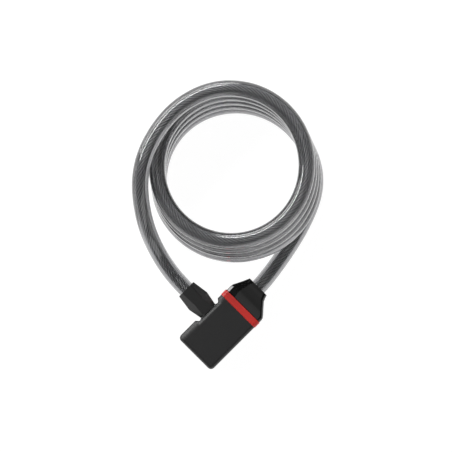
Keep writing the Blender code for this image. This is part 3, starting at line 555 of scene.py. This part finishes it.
# Polycarbonate dyed through: an even red with a satin sheen.
ring_red = new_material("moulded_polycarbonate_red", Base_Color=linear("#e2332c"), IOR=1.5)
grain_surface(ring_red, grain_mm=0.8, strength=0.1, roughness=0.32, spread=0.04)
ring.data.materials.append(ring_red)
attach(ring, "head")
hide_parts("accent_ring")


# End cap: glossy black ABS that tapers unevenly to the cable: straight and then in on one side,
# hollowed on the other, with a broad slanted facet along the straight side.

cap_low, cap_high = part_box("cable_end_cap")
CAP_STATIONS = np.array((  # share of the length; -Y side, +Y side, rise, facet's width, rim, in mm
    (0.00, 0.0, 0.4, 0.0, 5.6, 2.0),
    (0.12, 0.0, 0.4, 0.0, 5.5, 1.9),
    (0.22, 0.4, 0.4, 0.1, 5.3, 1.8),
    (0.33, 1.9, 0.6, 0.3, 5.0, 1.7),
    (0.53, 5.1, 2.4, 0.8, 4.0, 1.6),
    (0.74, 8.3, 4.2, 1.3, 3.2, 1.5),
    (0.88, 9.4, 5.3, 1.6, 3.0, 1.5),
    (1.00, 10.0, 6.2, 1.9, 2.9, 1.5),
))
CAP_EDGE_R = 3.0 * MM
FACET_SLOPE = 0.21  # drop over width
RIM_SLOPE = math.radians(23)
RIM_ROUND = 0.25  # share of the rim that rounds over to upright
CAP_ROWS = 28
CAP_EDGE_POINTS = 13
CAP_RIM_POINTS = 9
CAP_MOUTH_R = 6.3 * MM
CAP_MOUTH_DEPTH = 13.5 * MM


def cap_grid():
    """Cross-sections along the cap, every size read off a straight line between stations.
    Each section is a rectangle, rounded by quarter circles on the hollowed side.  On the other
    it falls by the facet's slope, then by the rim's, and turns upright on an arc whose radius
    is the rounded width over 1 - sine of the rim's slope."""
    share = np.linspace(0, 1, CAP_ROWS)
    sizes = np.array([
        np.interp(share, CAP_STATIONS[:, 0], column) for column in CAP_STATIONS.T[1:]])
    turn = np.linspace(math.pi / 2, math.pi, CAP_EDGE_POINTS)
    rim_turn = np.linspace(RIM_SLOPE, math.pi / 2, CAP_RIM_POINTS)
    grid = []
    for k, (inset_low, inset_high, rise, width, rim) in enumerate(sizes.T * MM):
        x = cap_low.x + share[k] * (cap_high.x - cap_low.x)
        y0, y1 = house_low.y + inset_low, house_high.y - inset_high
        z0, z1 = house_low.z + rise, house_high.z - rise
        far = np.column_stack((y0 + CAP_EDGE_R + CAP_EDGE_R * np.cos(turn),
                               z1 - CAP_EDGE_R + CAP_EDGE_R * np.sin(turn)))
        rim_r = RIM_ROUND * rim / (1 - math.sin(RIM_SLOPE))
        facet_z = z1 - width * FACET_SLOPE
        rim_z = facet_z - (1 - RIM_ROUND) * rim * math.tan(RIM_SLOPE) - rim_r * math.cos(RIM_SLOPE)
        near = np.column_stack((y1 - rim_r + rim_r * np.sin(rim_turn),
                                rim_z + rim_r * np.cos(rim_turn)))
        upper = np.concatenate((near[::-1], [(y1 - rim, facet_z), (y1 - rim - width, z1)], far))
        lower = np.column_stack((upper[:, 0], z0 + z1 - upper[:, 1]))[::-1]
        grid.append(np.insert(np.concatenate((upper, lower)), 0, x, axis=1))
    return np.array(grid)


cap = grid_mesh("end_cap", cap_grid())
cut(cap, (bore_grid("X", RIGHT_ROUTE[-1][1:], cap_high.x - CAP_MOUTH_DEPTH,
                    cap_high.x + CUT_PAST, CAP_MOUTH_R),))
soften_edges(cap, width=0.3 * MM, segments=3, from_degrees=40)
cap.data.shade_smooth()
cap.data.set_sharp_from_angle(angle=math.radians(11))
weigh_normals(cap)

# ABS from a polished mould: near black, with clear reflections over the facet and the rim.
cap_abs = new_material("polished_abs_black", Base_Color=linear("#0d0d0d"), IOR=1.5,
                       Coat_Weight=0.4, Coat_Roughness=0.08)
grain_surface(cap_abs, grain_mm=1.2, strength=0.04, roughness=0.2, spread=0.04)
cap.data.materials.append(cap_abs)
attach(cap, "head")
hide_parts("cable_end_cap")


# The lock's own pieces stay as the CAD has them: a turned brass cylinder, die-cast zinc halves,
# steel for what is pressed, drawn or crimped, and a rubber seal.  All lie inside the head and
# grip, apart from the lock's face and, once the plug is out, the bolt and the seal.

METALS = {  # name, colour, roughness, grain in mm; cast zinc is the dullest and the coarsest
    "brass": ("turned_brass", "#c9a24e", 0.28, 0.4),
    "steel": ("drawn_steel", "#b9babd", 0.25, 0.3),
    "zinc": ("die_cast_zinc", "#9a9c9f", 0.5, 0.8),
}
finishes = {"housing_black": housing_abs, "ring_red": ring_red, "cap_black": cap_abs,
            "grip_black": grip_nylon, "cable_sheath": smoke_pvc}
for slot, (name, colour, roughness, grain) in METALS.items():
    finishes[slot] = new_material(name, Base_Color=linear(colour), Metallic=1.0)
    grain_surface(finishes[slot], grain, strength=0.15, roughness=roughness, spread=0.06)

# Moulded rubber: a dull charcoal that shows hardly any reflection.
finishes["rubber"] = new_material("moulded_rubber_black", Base_Color=linear("#1a1a1a"))
grain_surface(finishes["rubber"], grain_mm=0.6, strength=0.3, roughness=0.75, spread=0.05)
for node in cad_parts.values():
    for place in node.material_slots:
        place.material = finishes[place.material.name.split(".")[0]]


# Floor and light: a pale board that fills the view, lit by soft boxes from the plug's side.
# The board glows as if lit from below, so that the clear sheath is bright along its edges.

FLOOR_SIZE = 6.0
half = FLOOR_SIZE / 2
floor_mesh = bpy.data.meshes.new("floor")
floor_mesh.from_pydata(
    [(-half, -half, 0), (half, -half, 0), (half, half, 0), (-half, half, 0)], [], [(0, 1, 2, 3)])
floor = bpy.data.objects.new("floor", floor_mesh)
bpy.context.collection.objects.link(floor)
floor_mesh.materials.append(new_material(
    "matt_white_board", Base_Color=linear("#6c6c6c"), Roughness=0.9,
    Emission_Color=(1, 1, 1, 1), Emission_Strength=0.97))

LIGHT_DISTANCE = 1.5
SOFT_BOXES = (  # degrees from +X, degrees from overhead, width and height in metres, radiance
    ("key_box", 90, 46, 2.0, 0.22, 12.0),
    ("low_box", 80, 76, 2.6, 0.55, 3.4),
    ("fill_box", 250, 60, 1.6, 0.5, 1.0),
)
for name, azimuth, tilt, width, height, radiance in SOFT_BOXES:
    area = bpy.data.lights.new(name, "AREA")
    area.shape = "RECTANGLE"
    area.size = width
    area.size_y = height
    area.energy = radiance * math.pi * width * height
    box = bpy.data.objects.new(name, area)
    a, t = math.radians(azimuth), math.radians(tilt)
    away = np.array((math.sin(t) * math.cos(a), math.sin(t) * math.sin(a), math.cos(t)))
    box.location = np.array(CAMERA_LOOKS_AT) + LIGHT_DISTANCE * away
    box.rotation_euler = (t, 0, a + math.pi / 2)
    bpy.context.collection.objects.link(box)

# The room: white walls up to the horizon, black flags above them, and a white panel overhead.
ROOM = ((0.12, 1.0), (0.3, 0.05), (0.94, 0.05), (0.975, 0.55))  # sine of the height, brightness
world = bpy.data.worlds.new("light_tent")
world.use_nodes = True
tree = world.node_tree
towards = add_node(tree, "ShaderNodeTexCoord")
upward = add_node(tree, "ShaderNodeSeparateXYZ", links={"Vector": towards.outputs["Generated"]})
glow = add_node(tree, "ShaderNodeValToRGB", links={"Fac": upward.outputs["Z"]}, stops=[
    (place, (value, value, value, 1)) for place, value in ROOM])
tree.links.new(glow.outputs["Color"], tree.nodes["Background"].inputs["Color"])
bpy.context.scene.world = world
bpy.context.scene.view_settings.view_transform = "Standard"
